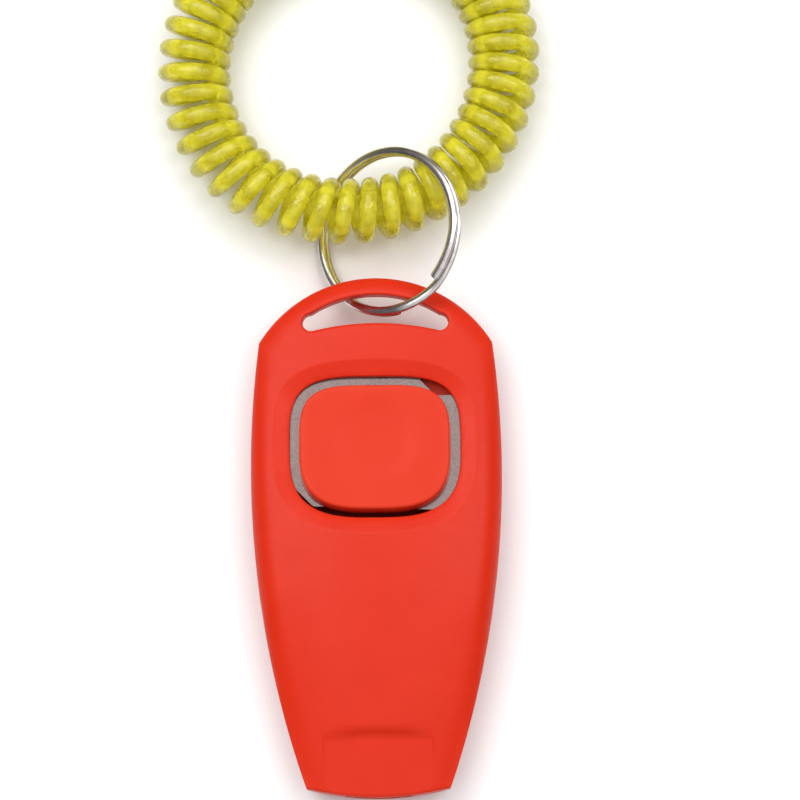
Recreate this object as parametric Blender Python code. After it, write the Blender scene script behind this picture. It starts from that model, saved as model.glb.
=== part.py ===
"""A dog trainer's whistle and clicker, on a split ring and a spiral wrist coil.

The tool lies on its flat back on the plane z = 0, with its mouthpiece towards -Y and its lanyard bar towards
+Y. The origin is on the back, straight under the middle of the button. Lengths are in metres.
"""

import math

import bmesh
import bpy
import numpy as np
from mathutils import Vector, geometry

# The body's outline: four arcs, mirrored left to right
TOP_Y = 0.0245
MOUTH_Y = -0.0510
HALF_WIDTH = 0.0182
WIDEST_Y = -0.0035
SIDE_RADIUS = 0.1395
TOP_RADIUS = 0.01987
MOUTH_RADIUS = 0.0399
SIDE_CENTRE = Vector((HALF_WIDTH - SIDE_RADIUS, WIDEST_Y))
TOP_CENTRE = Vector((0.0, TOP_Y - TOP_RADIUS))
MOUTH_CENTRE = Vector((0.0, MOUTH_Y + MOUTH_RADIUS))

# The body's heights
SEAM_Z = 0.0070
SEAM_GAP = 0.0003
RIM_Z = 0.0075
CROWN_Z = 0.0119
CROWN_Y = -0.012
FALL_TO_MOUTH = 1.8
FALL_TO_TOP = 2.2
CROSS_CURVE = 6.7
CROSS_CURVE_AT_MOUTH = 15.5
EDGE_WIDTH = 0.0030
MOUTH_EDGE_WIDTH = 0.0005
WALL = 0.0014
RIM_WALL = 0.0016
DRAFT = 0.00025

# The back is flat in the middle and rises towards both ends
BACK_RIM_Z = 0.0030
BAR_BOTTOM_Z = 0.0057
BAR_RISE_START = 0.0090
BAR_RISE_LENGTH = 0.0080
MOUTH_RISE = 0.0022
MOUTH_RISE_START = -0.038
MOUTH_RISE_LENGTH = 0.012

# The lanyard slot: a crescent between two arcs, with round ends
BAR_WIDTH = 0.00265
SLOT_UPPER_RADIUS = TOP_RADIUS - BAR_WIDTH
SLOT_LOWER_RADIUS = 0.041
SLOT_LOWER_CENTRE = Vector((0.0, 0.01756 - SLOT_LOWER_RADIUS))
SLOT_END_X = 0.0093
SLOT_SOFTENING = 0.0006
SLOT_SOFTENING_BELOW = 0.0009

# The button's opening, its dish and the button: rounded squares
OPENING_HALF = (0.01235, 0.01035)
OPENING_CENTRE = Vector((-0.00015, -0.0006))
OPENING_POWERS = (3.8, 3.0)
DISH_WIDTH = 0.0024
DISH_DEPTH = 0.0010
BUTTON_HALF = (0.01105, 0.0092)
BUTTON_CENTRE = Vector((-0.0002, -0.00085))
BUTTON_TOP_Z = 0.0122
BUTTON_FOOT_Z = 0.0086
BUTTON_WALL = 0.0015
BUTTON_ROOF = 0.0016
BUTTON_ROUND = 0.0012
BUTTON_SHOULDER_Z = 0.0094

# The spring plate, its pegs and the button's legs
PLATE_TOP_Z = 0.0082
PLATE_THICKNESS = 0.0004
PLATE_CLEARANCE = 0.0003
PEG_X = 0.0055
PEG_Y = 0.0132
PEG_RADIUS = 0.0007
PEG_HOLE_RADIUS = 0.00115
CLAMP_HALF_WIDTH = 0.0080
CLAMP_Y = (0.0122, 0.0148)
LEG_X = 0.0060
LEG_HALF = (0.0006, 0.0018)
LEG_BOTTOM_Z = 0.0068
LEDGE_Z = 0.0066
LEDGE = ((0.0058, 0.0138), (0.0064, 0.0118))
HINGE = Vector((0.0, 0.0136, 0.0080))
PLATE_OUTLINE = (
    (-0.0136, -0.0045),
    (-0.0092, -0.0090),
    (0.0085, -0.0096),
    (0.0122, -0.0075),
    (0.0122, 0.0061),
    (0.0113, 0.0071),
    (0.0086, 0.0071),
    (0.0061, 0.0097),
    (0.0061, 0.0110),
    (0.0075, 0.0118),
    (0.0075, 0.0147),
    (-0.0075, 0.0147),
    (-0.0075, 0.0124),
    (-0.0136, 0.0095),
)

# The whistle: a windway under the insert, and a sound window in the back
LIP_HALF_WIDTH = 0.00785
LIP_Y = -0.0425
LIP_DEPTH = 0.00107
LIP_SLOPE = 0.76
WINDWAY_HALF_WIDTH = 0.0050
WINDWAY_Z = 0.0042
WINDWAY_END_Y = -0.0384
INSERT_HALF_WIDTH = 0.0044
INSERT_Z = (0.0053, 0.00685)
INSERT_Y = (-0.0500, -0.0388)
RAIL_WIDTH = 0.0012
RAIL_Z = 0.00685
RAIL_Y = (-0.0478, -0.0336)
WINDOW_HALF_WIDTH = 0.0040
WINDOW_Y = (-0.0384, -0.0349)
BULKHEAD_Y = (-0.0234, -0.0220)
BULKHEAD_HALF_WIDTH = 0.0142

# The split ring: a flat wire that goes round nearly twice
RING_CENTRE = Vector((0.0020, 0.0313, 0.0080))
RING_TILT = math.radians(35.0)
RING_OUTER_RADIUS = 0.0125
RING_WIRE_WIDTH = 0.0014
RING_WIRE_THICKNESS = 0.00085
RING_TURN_GAP = 0.00008
RING_STEP = math.radians(39.5)
RING_START = math.radians(-43.0)
BAR_AXIS = Vector((0.0, 0.0231, 0.0074))

# The spiral wrist coil, as the tube that its turns fill
COIL_CENTRE = Vector((-0.0036, 0.0567))
COIL_RADIUS = 0.0226
COIL_OVAL = 0.00047
COIL_OVAL_AT = math.radians(32.0)
COIL_TUBE_RADIUS = 0.00542
COIL_PINCH = 0.0006
COIL_PINCH_AT = math.radians(-72.0)
COIL_PINCH_WIDTH = math.radians(36.0)
COIL_REST_Z = 0.0055
COIL_HUMP = 0.0028
COIL_HUMP_AT = math.radians(-100.5)
COIL_HUMP_WIDTH = math.radians(25.0)
COIL_GAP_AT = math.radians(90.0)
COIL_GAP_HALF = math.radians(9.0)
JOINER_RADIUS = 0.0030
JOINER_LENGTH = 0.0060
COIL_AXIS_POINT = Vector((0.0009, 0.0351, 0.0062))


def clamp(value):
    return min(max(value, 0.0), 1.0)


def smooth(value):
    """A soft step from 0 to 1."""
    t = clamp(value)
    return t * t * (3.0 - 2.0 * t)


def quarter_round(value):
    """The height of a rounded edge: 0 at the edge, 1 one edge width inside it."""
    return math.sqrt(1.0 - (1.0 - clamp(value)) ** 2)


def mix(low, high, amount):
    return low + (high - low) * amount


# ---------------------------------------------------------------- outlines


def circle_crossing(centre_a, radius_a, centre_b, radius_b, upper):
    """The upper or the lower of the two points where two circles cross."""
    between = centre_b - centre_a
    distance = between.length
    along = (radius_a**2 - radius_b**2 + distance**2) / (2.0 * distance)
    off = math.sqrt(radius_a**2 - along**2)
    middle = centre_a + between * (along / distance)
    side = Vector((-between.y, between.x)) * (off / distance)
    pair = sorted((middle + side, middle - side), key=lambda point: point.y)
    return pair[1] if upper else pair[0]


def arc_points(centre, radius, start, end, count):
    """Points along an arc, without the last one."""
    angles = [mix(start, end, i / count) for i in range(count)]
    return [centre + Vector((math.cos(a), math.sin(a))) * radius for a in angles]


def angle_from(centre, point):
    return math.atan2(point.y - centre.y, point.x - centre.x)


def body_outline(inset):
    """The body's outline, moved inwards, anticlockwise from the middle of the mouth."""
    mouth, side, top = MOUTH_RADIUS - inset, SIDE_RADIUS - inset, TOP_RADIUS - inset
    corner = circle_crossing(SIDE_CENTRE, side, MOUTH_CENTRE, mouth, upper=False)
    shoulder = circle_crossing(SIDE_CENTRE, side, TOP_CENTRE, top, upper=True)
    right = arc_points(MOUTH_CENTRE, mouth, -math.pi / 2, angle_from(MOUTH_CENTRE, corner), 5)
    right += arc_points(
        SIDE_CENTRE, side, angle_from(SIDE_CENTRE, corner), angle_from(SIDE_CENTRE, shoulder), 16
    )
    right += arc_points(TOP_CENTRE, top, angle_from(TOP_CENTRE, shoulder), math.pi / 2, 12)
    summit = TOP_CENTRE + Vector((0.0, top))
    left = [Vector((-p.x, p.y)) for p in reversed(right[1:])]
    return right + [summit] + left


def depth_from_sides(x, y):
    """How far inside the outline's sides and top a point is."""
    point = Vector((abs(x), y))
    side = SIDE_RADIUS - (point - SIDE_CENTRE).length
    return min(side, TOP_RADIUS - (point - TOP_CENTRE).length) if y > 0.0 else side


def depth_from_mouth(x, y):
    """How far inside the outline's mouth a point is."""
    return MOUTH_RADIUS - math.hypot(x, y - MOUTH_CENTRE.y) if y < 0.0 else 1.0


def depth_in_body(x, y):
    return min(depth_from_sides(x, y), depth_from_mouth(x, y))


def slot_edges_at(x, offset):
    """The y of the slot's lower and upper edges, moved outwards."""
    upper = TOP_CENTRE.y + math.sqrt((SLOT_UPPER_RADIUS + offset) ** 2 - x * x)
    lower = SLOT_LOWER_CENTRE.y + math.sqrt((SLOT_LOWER_RADIUS - offset) ** 2 - x * x)
    return lower, upper


def slot_outline(offset):
    """The slot's outline, moved outwards."""
    across = [mix(SLOT_END_X, -SLOT_END_X, i / 10) for i in range(11)]
    lower, upper = slot_edges_at(SLOT_END_X, offset)
    radius, middle = (upper - lower) / 2.0, (upper + lower) / 2.0
    turn = [math.radians(a) for a in (120.0, 150.0, 180.0, 210.0, 240.0)]
    left = [Vector((-SLOT_END_X + radius * math.cos(a), middle + radius * math.sin(a))) for a in turn]
    right = [Vector((-p.x, p.y)) for p in reversed(left)]
    top = [Vector((x, slot_edges_at(x, offset)[1])) for x in across]
    bottom = [Vector((-x, slot_edges_at(x, offset)[0])) for x in across]
    return top + left + bottom + right


def distance_from_slot(x, y):
    """How far outside the slot's outline a point is; negative inside it."""
    point = Vector((abs(x), y))
    if point.x < SLOT_END_X:
        above = (point - TOP_CENTRE).length - SLOT_UPPER_RADIUS
        below = SLOT_LOWER_RADIUS - (point - SLOT_LOWER_CENTRE).length
        return max(above, below)
    lower, upper = slot_edges_at(SLOT_END_X, 0.0)
    end = Vector((SLOT_END_X, (lower + upper) / 2.0))
    return (point - end).length - (upper - lower) / 2.0


def rounded_square_radius(angle, half):
    """The radius of a rounded square at an angle: its upper corners are tighter than its lower ones."""
    power = OPENING_POWERS[0] if math.sin(angle) > 0.0 else OPENING_POWERS[1]
    across = abs(math.cos(angle) / half[0]) ** power
    along = abs(math.sin(angle) / half[1]) ** power
    return (across + along) ** (-1.0 / power)


def rounded_square(half, centre, offset, count):
    angles = [2.0 * math.pi * i / count for i in range(count)]
    reach = [rounded_square_radius(a, half) + offset for a in angles]
    return [centre + Vector((math.cos(a), math.sin(a))) * r for a, r in zip(angles, reach)]


def distance_from_square(x, y, half, centre):
    """How far outside a rounded square a point is, measured along its radius."""
    point = Vector((x, y)) - centre
    return point.length - rounded_square_radius(math.atan2(point.y, point.x), half)


def rectangle(x_range, y_range):
    return [Vector((x_range[i], y_range[j])) for i, j in ((0, 0), (1, 0), (1, 1), (0, 1))]


def grown(x_range, y_range, by):
    return (x_range[0] - by, x_range[1] + by), (y_range[0] - by, y_range[1] + by)


def inside_rectangle(x, y, x_range, y_range):
    """1 in a rectangle, 0 from one draft outside it."""
    off_x = max(x_range[0] - x, x - x_range[1], 0.0)
    off_y = max(y_range[0] - y, y - y_range[1], 0.0)
    return clamp(1.0 - max(off_x, off_y) / DRAFT)


def circle(centre, radius, count):
    return arc_points(centre, radius, 0.0, 2.0 * math.pi, count)


# ---------------------------------------------------------------- solids


def in_polygon(points, polygon):
    """Which of the points are inside a polygon."""
    x, y = points[:, 0], points[:, 1]
    inside = np.zeros(len(points), bool)
    for a, b in zip(polygon, polygon[1:] + polygon[:1]):
        if a.y != b.y:
            crosses = (a.y > y) != (b.y > y)
            inside ^= crosses & (x < a.x + (y - a.y) * (b.x - a.x) / (b.y - a.y))
    return inside


def grid_inside(edge, loops, spacing):
    """Points on a square grid inside edge, away from every loop."""
    near = np.array([p[:] for loop in loops for p in loop])
    low, high = near.min(axis=0), near.max(axis=0)
    columns = [np.arange(low[i] + spacing / 2.0, high[i], spacing) for i in (0, 1)]
    grid = np.stack(np.meshgrid(*columns), axis=-1).reshape(-1, 2)
    grid = grid[in_polygon(grid, edge)]
    gaps = np.linalg.norm(grid[:, None] - near[None], axis=2).min(axis=1)
    return [Vector(p) for p in grid[gaps > 0.7 * spacing]]


def solid_between(name, edge, holes, creases, spacing, top, bottom, origin=(0.0, 0.0, 0.0)):
    """A closed solid inside edge and outside the holes, between two functions that give its heights."""
    loops = [edge, *holes, *creases]
    points, lines = [], []
    for loop in loops:
        first = len(points)
        points += loop
        lines += [(first + i, first + (i + 1) % len(loop)) for i in range(len(loop))]
    points += grid_inside(edge, loops, spacing)
    flat, _, faces, _, _, _ = geometry.delaunay_2d_cdt(points, lines, [], 0, 1e-7)
    centres = np.array([sum((flat[i] for i in face), Vector((0.0, 0.0))) / 3.0 for face in faces])
    keep = in_polygon(centres, edge)
    for hole in holes:
        keep &= ~in_polygon(centres, hole)
    used = sorted({i for face, kept in zip(faces, keep) if kept for i in face})
    mesh = bmesh.new()
    upper = {i: mesh.verts.new((*flat[i], top(*flat[i]))) for i in used}
    lower = {i: mesh.verts.new((*flat[i], bottom(*flat[i]))) for i in used}
    sides = {}
    for face, kept in zip(faces, keep):
        if kept:
            mesh.faces.new([upper[i] for i in face])
            mesh.faces.new([lower[i] for i in reversed(face)])
            for a, b in zip(face, (*face[1:], face[0])):
                sides[frozenset((a, b))] = None if frozenset((a, b)) in sides else (a, b)
    for a, b in filter(None, sides.values()):
        mesh.faces.new([upper[b], upper[a], lower[a], lower[b]])
    return finished(name, mesh, origin)


def finished(name, mesh, origin=(0.0, 0.0, 0.0)):
    """An object from a bmesh in world coordinates, with its origin at a point."""
    bmesh.ops.translate(mesh, verts=mesh.verts, vec=-Vector(origin))
    bmesh.ops.recalc_face_normals(mesh, faces=mesh.faces)
    data = bpy.data.meshes.new(name)
    mesh.to_mesh(data)
    mesh.free()
    data.shade_smooth()
    data.set_sharp_from_angle(angle=math.radians(35.0))
    piece = bpy.data.objects.new(name, data)
    piece.location = origin
    bpy.context.collection.objects.link(piece)
    return piece


def swept(name, sections, origin):
    """A closed solid through a list of sections with equal numbers of points, with flat ends."""
    mesh = bmesh.new()
    rings = [[mesh.verts.new(p) for p in section] for section in sections]
    for near, far in zip(rings, rings[1:]):
        for i in range(len(near)):
            j = (i + 1) % len(near)
            mesh.faces.new([near[i], near[j], far[j], far[i]])
    mesh.faces.new(rings[0])
    mesh.faces.new(rings[-1])
    return finished(name, mesh, origin)


def painted(piece, colour, roughness, metallic=0.0, alpha=1.0):
    material = bpy.data.materials.new(piece.name)
    material.use_nodes = True
    shader = material.node_tree.nodes["Principled BSDF"]
    shader.inputs["Base Color"].default_value = (*colour, 1.0)
    shader.inputs["Roughness"].default_value = roughness
    shader.inputs["Metallic"].default_value = metallic
    shader.inputs["Alpha"].default_value = alpha
    piece.data.materials.append(material)
    return piece


# ---------------------------------------------------------------- the two covers


def crown_height(x, y):
    """The crowned front before its edges, dish and recess are taken off."""
    fall = FALL_TO_MOUTH if y < CROWN_Y else FALL_TO_TOP
    curve = mix(CROSS_CURVE, CROSS_CURVE_AT_MOUTH, smooth((-0.020 - y) / 0.030))
    return CROWN_Z - fall * (y - CROWN_Y) ** 2 - curve * x * x


def lip_height(x, y):
    """The floor and the ramp of the recess for the lip; high above the body outside it."""
    if abs(x) > LIP_HALF_WIDTH:
        return 1.0
    floor = crown_height(0.0, min(y, LIP_Y)) - LIP_DEPTH
    return floor + max(y - LIP_Y, 0.0) * LIP_SLOPE


def front_height(x, y):
    """The front cover's outer surface."""
    height = min(crown_height(x, y), lip_height(x, y))
    away = distance_from_square(x, y, OPENING_HALF, OPENING_CENTRE)
    height -= DISH_DEPTH * smooth(1.0 - away / DISH_WIDTH)
    height -= SLOT_SOFTENING * (1.0 - quarter_round(distance_from_slot(x, y) / SLOT_SOFTENING))
    height -= MOUTH_EDGE_WIDTH * (1.0 - quarter_round(depth_from_mouth(x, y) / MOUTH_EDGE_WIDTH))
    return mix(RIM_Z, height, quarter_round(depth_from_sides(x, y) / EDGE_WIDTH))


def hollow(x, y):
    """0 where the two covers meet, 1 in the space inside."""
    band = min(depth_in_body(x, y), distance_from_slot(x, y))
    return clamp((band - RIM_WALL) / DRAFT)


def front_underside(x, y):
    """The front cover's inner surface, with the rib that clamps the spring plate."""
    seam = SEAM_Z + SEAM_GAP / 2.0
    rib = PLATE_TOP_Z + PLATE_CLEARANCE
    ceiling = max(front_height(x, y) - WALL, rib if y > BULKHEAD_Y[0] else seam)
    clamped = inside_rectangle(x, y, (-CLAMP_HALF_WIDTH, CLAMP_HALF_WIDTH), CLAMP_Y)
    return mix(seam, mix(ceiling, rib, clamped), hollow(x, y))


def back_height(x, y):
    """The rear cover's outer surface."""
    to_bar = smooth((y - BAR_RISE_START) / BAR_RISE_LENGTH)
    to_mouth = smooth((MOUTH_RISE_START - y) / MOUTH_RISE_LENGTH)
    height = BAR_BOTTOM_Z * to_bar + MOUTH_RISE * to_mouth
    soft = quarter_round(distance_from_slot(x, y) / SLOT_SOFTENING_BELOW)
    height += SLOT_SOFTENING_BELOW * (1.0 - soft)
    rim = BACK_RIM_Z + (BAR_BOTTOM_Z - BACK_RIM_Z + SLOT_SOFTENING) * to_bar
    return mix(rim, height, quarter_round(depth_in_body(x, y) / EDGE_WIDTH))


def rear_inside(x, y):
    """The rear cover's inner surface, with its posts, ledge, bulkhead, rails and windway."""
    floor = back_height(x, y) + WALL
    clamp_pad = PLATE_TOP_Z - PLATE_THICKNESS - PLATE_CLEARANCE
    clamped = inside_rectangle(x, y, (-CLAMP_HALF_WIDTH, CLAMP_HALF_WIDTH), CLAMP_Y)
    height = mix(floor, clamp_pad, clamped)
    peg = clamp(1.0 - (math.hypot(abs(x) - PEG_X, y - PEG_Y) - PEG_RADIUS) / DRAFT)
    height = mix(height, PLATE_TOP_Z, peg)
    height = max(height, mix(floor, LEDGE_Z, inside_rectangle(x, y, *LEDGE)))
    wall = inside_rectangle(x, y, (-BULKHEAD_HALF_WIDTH, BULKHEAD_HALF_WIDTH), BULKHEAD_Y)
    height = mix(height, front_underside(x, y) - PLATE_CLEARANCE, wall)
    rail_x = (WINDWAY_HALF_WIDTH, WINDWAY_HALF_WIDTH + RAIL_WIDTH)
    height = mix(height, RAIL_Z, inside_rectangle(abs(x), y, rail_x, RAIL_Y))
    height = mix(SEAM_Z - SEAM_GAP / 2.0, height, hollow(x, y))
    windway = inside_rectangle(
        x, y, (-WINDWAY_HALF_WIDTH + DRAFT, WINDWAY_HALF_WIDTH - DRAFT), (-1.0, WINDWAY_END_Y)
    )
    return mix(height, WINDWAY_Z, windway)


def cover_creases():
    """The loops that both covers' rounded edges and rims follow."""
    insets = (0.00015, MOUTH_EDGE_WIDTH, 0.0010, RIM_WALL, RIM_WALL + DRAFT, EDGE_WIDTH)
    offsets = (SLOT_SOFTENING / 3.0, SLOT_SOFTENING, SLOT_SOFTENING_BELOW, RIM_WALL, RIM_WALL + DRAFT)
    return [body_outline(d) for d in insets] + [slot_outline(d) for d in offsets]


def front_cover():
    clamp_x = (-CLAMP_HALF_WIDTH, CLAMP_HALF_WIDTH)
    creases = cover_creases()
    creases += [rounded_square(OPENING_HALF, OPENING_CENTRE, d, 40) for d in (DISH_WIDTH / 2.0, DISH_WIDTH)]
    creases += [rectangle(clamp_x, CLAMP_Y), rectangle(*grown(clamp_x, CLAMP_Y, DRAFT))]
    lip_top = LIP_Y + LIP_DEPTH / LIP_SLOPE
    lip_x = (-LIP_HALF_WIDTH, LIP_HALF_WIDTH)
    creases += [rectangle(lip_x, (MOUTH_Y + 0.001, LIP_Y)), rectangle(lip_x, (LIP_Y, lip_top))]
    holes = [slot_outline(0.0), rounded_square(OPENING_HALF, OPENING_CENTRE, 0.0, 40)]
    cover = solid_between(
        "front_cover", body_outline(0.0), holes, creases, 0.0045, front_height, front_underside
    )
    return painted(cover, (0.82, 0.045, 0.022), 0.38)


def rear_cover():
    clamp_x = (-CLAMP_HALF_WIDTH, CLAMP_HALF_WIDTH)
    creases = cover_creases()
    creases += [rectangle(clamp_x, CLAMP_Y), rectangle(*grown(clamp_x, CLAMP_Y, DRAFT))]
    for side in (-1.0, 1.0):
        peg = Vector((side * PEG_X, PEG_Y))
        creases += [circle(peg, PEG_RADIUS, 12), circle(peg, PEG_RADIUS + DRAFT, 12)]
        rail_x = sorted((side * WINDWAY_HALF_WIDTH, side * (WINDWAY_HALF_WIDTH + RAIL_WIDTH)))
        creases += [rectangle(rail_x, RAIL_Y), rectangle(*grown(rail_x, RAIL_Y, DRAFT))]
    creases += [rectangle(*LEDGE), rectangle(*grown(*LEDGE, DRAFT))]
    bulkhead = (-BULKHEAD_HALF_WIDTH, BULKHEAD_HALF_WIDTH), BULKHEAD_Y
    creases += [rectangle(*bulkhead), rectangle(*grown(*bulkhead, DRAFT))]
    windway = (-WINDWAY_HALF_WIDTH + DRAFT, WINDWAY_HALF_WIDTH - DRAFT), (MOUTH_Y + 0.0002, WINDWAY_END_Y)
    creases += [rectangle(*windway), rectangle(*grown(*windway, DRAFT))]
    window = rectangle((-WINDOW_HALF_WIDTH, WINDOW_HALF_WIDTH), WINDOW_Y)
    holes = [slot_outline(0.0), window]
    cover = solid_between(
        "rear_cover", body_outline(0.0), holes, creases, 0.0045, rear_inside, back_height
    )
    return painted(cover, (0.82, 0.045, 0.022), 0.38)


def whistle_insert():
    """The block over the windway, with its inner end sloped towards the window."""
    low, high = INSERT_Z
    front, back = INSERT_Y
    slope = (high - low) * 0.6
    profile = ((front, low), (back, low), (back - slope, high), (front, high))
    across = (-INSERT_HALF_WIDTH, INSERT_HALF_WIDTH)
    sections = [[Vector((x, y, z)) for y, z in profile] for x in across]
    return painted(swept("whistle_insert", sections, (0.0, 0.0, 0.0)), (0.30, 0.02, 0.012), 0.5)


# ---------------------------------------------------------------- the clicker


def button_top(x, y):
    inside = -distance_from_square(x, y, BUTTON_HALF, BUTTON_CENTRE)
    return mix(BUTTON_SHOULDER_Z, BUTTON_TOP_Z, quarter_round(inside / BUTTON_ROUND))


def button_underside(x, y):
    """The button's rim, the hollow under its top, and its two legs."""
    inside = -distance_from_square(x, y, BUTTON_HALF, BUTTON_CENTRE)
    roof = mix(BUTTON_FOOT_Z, BUTTON_TOP_Z - BUTTON_ROOF, clamp((inside - BUTTON_WALL) / DRAFT))
    leg_x = (LEG_X - LEG_HALF[0], LEG_X + LEG_HALF[0])
    leg = inside_rectangle(abs(x), y, leg_x, (-LEG_HALF[1], LEG_HALF[1]))
    return mix(roof, LEG_BOTTOM_Z, leg)


def leg_rectangles(grow):
    """The outlines of the button's two legs, grown by some amount."""
    y_range = (-LEG_HALF[1], LEG_HALF[1])
    pair = [(side * LEG_X - LEG_HALF[0], side * LEG_X + LEG_HALF[0]) for side in (-1.0, 1.0)]
    return [rectangle(*grown(x_range, y_range, grow)) for x_range in pair]


def click_button():
    edge = rounded_square(BUTTON_HALF, BUTTON_CENTRE, 0.0, 40)
    insets = (0.00015, 0.0005, BUTTON_ROUND, BUTTON_WALL, BUTTON_WALL + DRAFT)
    creases = [rounded_square(BUTTON_HALF, BUTTON_CENTRE, -d, 40) for d in insets]
    creases += leg_rectangles(0.0) + leg_rectangles(DRAFT)
    button = solid_between(
        "click_button", edge, [], creases, 0.004, button_top, button_underside, HINGE
    )
    return painted(button, (0.85, 0.055, 0.03), 0.34)


def click_plate():
    """The spring steel plate, clamped at its root, with slots for the button's legs."""
    edge = [Vector(p) for p in PLATE_OUTLINE]
    holes = leg_rectangles(DRAFT + PLATE_CLEARANCE)
    holes += [circle(Vector((side * PEG_X, PEG_Y)), PEG_HOLE_RADIUS, 14) for side in (-1.0, 1.0)]
    plate = solid_between(
        "click_plate",
        edge,
        holes,
        [],
        0.006,
        lambda x, y: PLATE_TOP_Z,
        lambda x, y: PLATE_TOP_Z - PLATE_THICKNESS,
        HINGE,
    )
    return painted(plate, (0.45, 0.44, 0.43), 0.35, metallic=1.0)


# ---------------------------------------------------------------- the ring and the coil


def ring_frame():
    """The ring plane's own X, Y and axis directions, tilted so that its right side is up."""
    across = Vector((math.cos(RING_TILT), 0.0, math.sin(RING_TILT)))
    along = Vector((0.0, 1.0, 0.0))
    return across, along, across.cross(along)


def split_ring():
    """A flat wire that goes round in the upper layer, steps down, and goes round in the lower one."""
    across, along, axis = ring_frame()
    pitch = RING_WIRE_THICKNESS + RING_TURN_GAP
    sweep = 4.0 * math.pi - RING_STEP
    count = 120
    inner = RING_OUTER_RADIUS - RING_WIRE_WIDTH
    half = RING_WIRE_THICKNESS / 2.0
    corners = ((inner, -half), (RING_OUTER_RADIUS, -half), (RING_OUTER_RADIUS, half), (inner, half))
    sections = []
    for i in range(count + 1):
        turn = sweep * i / count
        layer = smooth((turn - (2.0 * math.pi - RING_STEP)) / RING_STEP)
        outward = across * math.cos(RING_START + turn) + along * math.sin(RING_START + turn)
        level = RING_CENTRE + axis * (pitch * (0.5 - layer))
        sections.append([level + outward * r + axis * h for r, h in corners])
    return painted(swept("split_ring", sections, BAR_AXIS), (0.55, 0.54, 0.53), 0.22, metallic=1.0)


def bell(angle, middle, width):
    """1 at the middle angle, falling softly to 0 on both sides of it."""
    away = math.remainder(angle - middle, 2.0 * math.pi) / width
    return math.exp(-away * away / 2.0)


def coil_point(angle):
    """A point on the middle line of the wrist coil, which rises where it lies on the ring."""
    hump = COIL_HUMP * bell(angle, COIL_HUMP_AT, COIL_HUMP_WIDTH)
    radius = COIL_RADIUS + COIL_OVAL * math.cos(2.0 * (angle - COIL_OVAL_AT))
    x = COIL_CENTRE.x + radius * math.cos(angle)
    y = COIL_CENTRE.y + radius * math.sin(angle)
    return Vector((x, y, COIL_REST_Z + hump))


def coil_tube_radius(angle):
    """The radius that the turns fill, a little less where the coil is drawn through the ring."""
    return COIL_TUBE_RADIUS - COIL_PINCH * bell(angle, COIL_PINCH_AT, COIL_PINCH_WIDTH)


def tube_sections(points, radii, sides):
    """Round sections of a tube along points that lie nearly level."""
    sections = []
    for i, (point, radius) in enumerate(zip(points, radii)):
        ahead = points[min(i + 1, len(points) - 1)] - points[max(i - 1, 0)]
        side = ahead.cross(Vector((0.0, 0.0, 1.0))).normalized()
        up = side.cross(ahead).normalized()
        angles = [2.0 * math.pi * k / sides for k in range(sides)]
        sections.append([point + (side * math.cos(a) + up * math.sin(a)) * radius for a in angles])
    return sections


def wrist_coil():
    """The tube that the spiral's turns fill, open where its two ends are joined."""
    start = COIL_GAP_AT + COIL_GAP_HALF
    sweep = 2.0 * math.pi - 2.0 * COIL_GAP_HALF
    angles = [start + sweep * i / 64 for i in range(65)]
    points = [coil_point(angle) for angle in angles]
    radii = [coil_tube_radius(angle) for angle in angles]
    coil = swept("wrist_coil", tube_sections(points, radii, 16), COIL_AXIS_POINT)
    return painted(coil, (0.80, 0.76, 0.06), 0.25, alpha=0.85)


def coil_joiner():
    """The sleeve that holds the spiral's two ends together."""
    half = JOINER_LENGTH / 2.0 / COIL_RADIUS
    points = [coil_point(mix(COIL_GAP_AT - half, COIL_GAP_AT + half, i / 4)) for i in range(5)]
    joiner = swept("coil_joiner", tube_sections(points, [JOINER_RADIUS] * 5, 16), COIL_AXIS_POINT)
    return painted(joiner, (0.75, 0.72, 0.10), 0.3)


def build():
    for leftover in list(bpy.data.objects):
        bpy.data.objects.remove(leftover, do_unlink=True)
    front_cover()
    rear_cover()
    whistle_insert()
    click_button()
    click_plate()
    split_ring()
    wrist_coil()
    coil_joiner()


build()
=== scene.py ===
"""The looks of a dog trainer's whistle and clicker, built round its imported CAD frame.

Lengths are in metres, in the frame's own axes: the tool lies on its flat back on the plane z = 0, with its
mouthpiece towards -Y and its lanyard bar towards +Y. Heights over the plan are functions of x and y that
take whole arrays of points.
"""

import math

import bmesh
import bpy
import numpy as np
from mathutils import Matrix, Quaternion, Vector, geometry, kdtree


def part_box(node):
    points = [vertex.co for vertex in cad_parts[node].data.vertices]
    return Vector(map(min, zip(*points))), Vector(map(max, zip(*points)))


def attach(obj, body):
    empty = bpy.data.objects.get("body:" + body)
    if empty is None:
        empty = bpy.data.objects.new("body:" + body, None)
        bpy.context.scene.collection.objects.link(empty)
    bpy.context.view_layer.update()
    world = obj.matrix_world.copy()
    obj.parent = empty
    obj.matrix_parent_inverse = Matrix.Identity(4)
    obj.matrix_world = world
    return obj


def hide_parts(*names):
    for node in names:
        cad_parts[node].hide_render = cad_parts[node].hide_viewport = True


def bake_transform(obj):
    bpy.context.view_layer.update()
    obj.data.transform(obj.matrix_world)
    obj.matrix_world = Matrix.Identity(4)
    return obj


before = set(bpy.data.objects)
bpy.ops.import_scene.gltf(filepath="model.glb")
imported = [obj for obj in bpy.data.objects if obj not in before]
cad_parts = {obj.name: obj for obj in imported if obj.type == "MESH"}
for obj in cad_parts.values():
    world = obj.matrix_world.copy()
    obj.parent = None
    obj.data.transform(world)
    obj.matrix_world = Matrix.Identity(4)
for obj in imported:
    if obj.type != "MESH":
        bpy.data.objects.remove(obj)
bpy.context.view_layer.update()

# The camera stands over the tool, a little towards the mouthpiece
VIEW_TARGET = Vector((0.0035, 0.0066, 0.0070))
VIEW_TILT = math.radians(8.0)
VIEW_DISTANCE = 0.600
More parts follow.
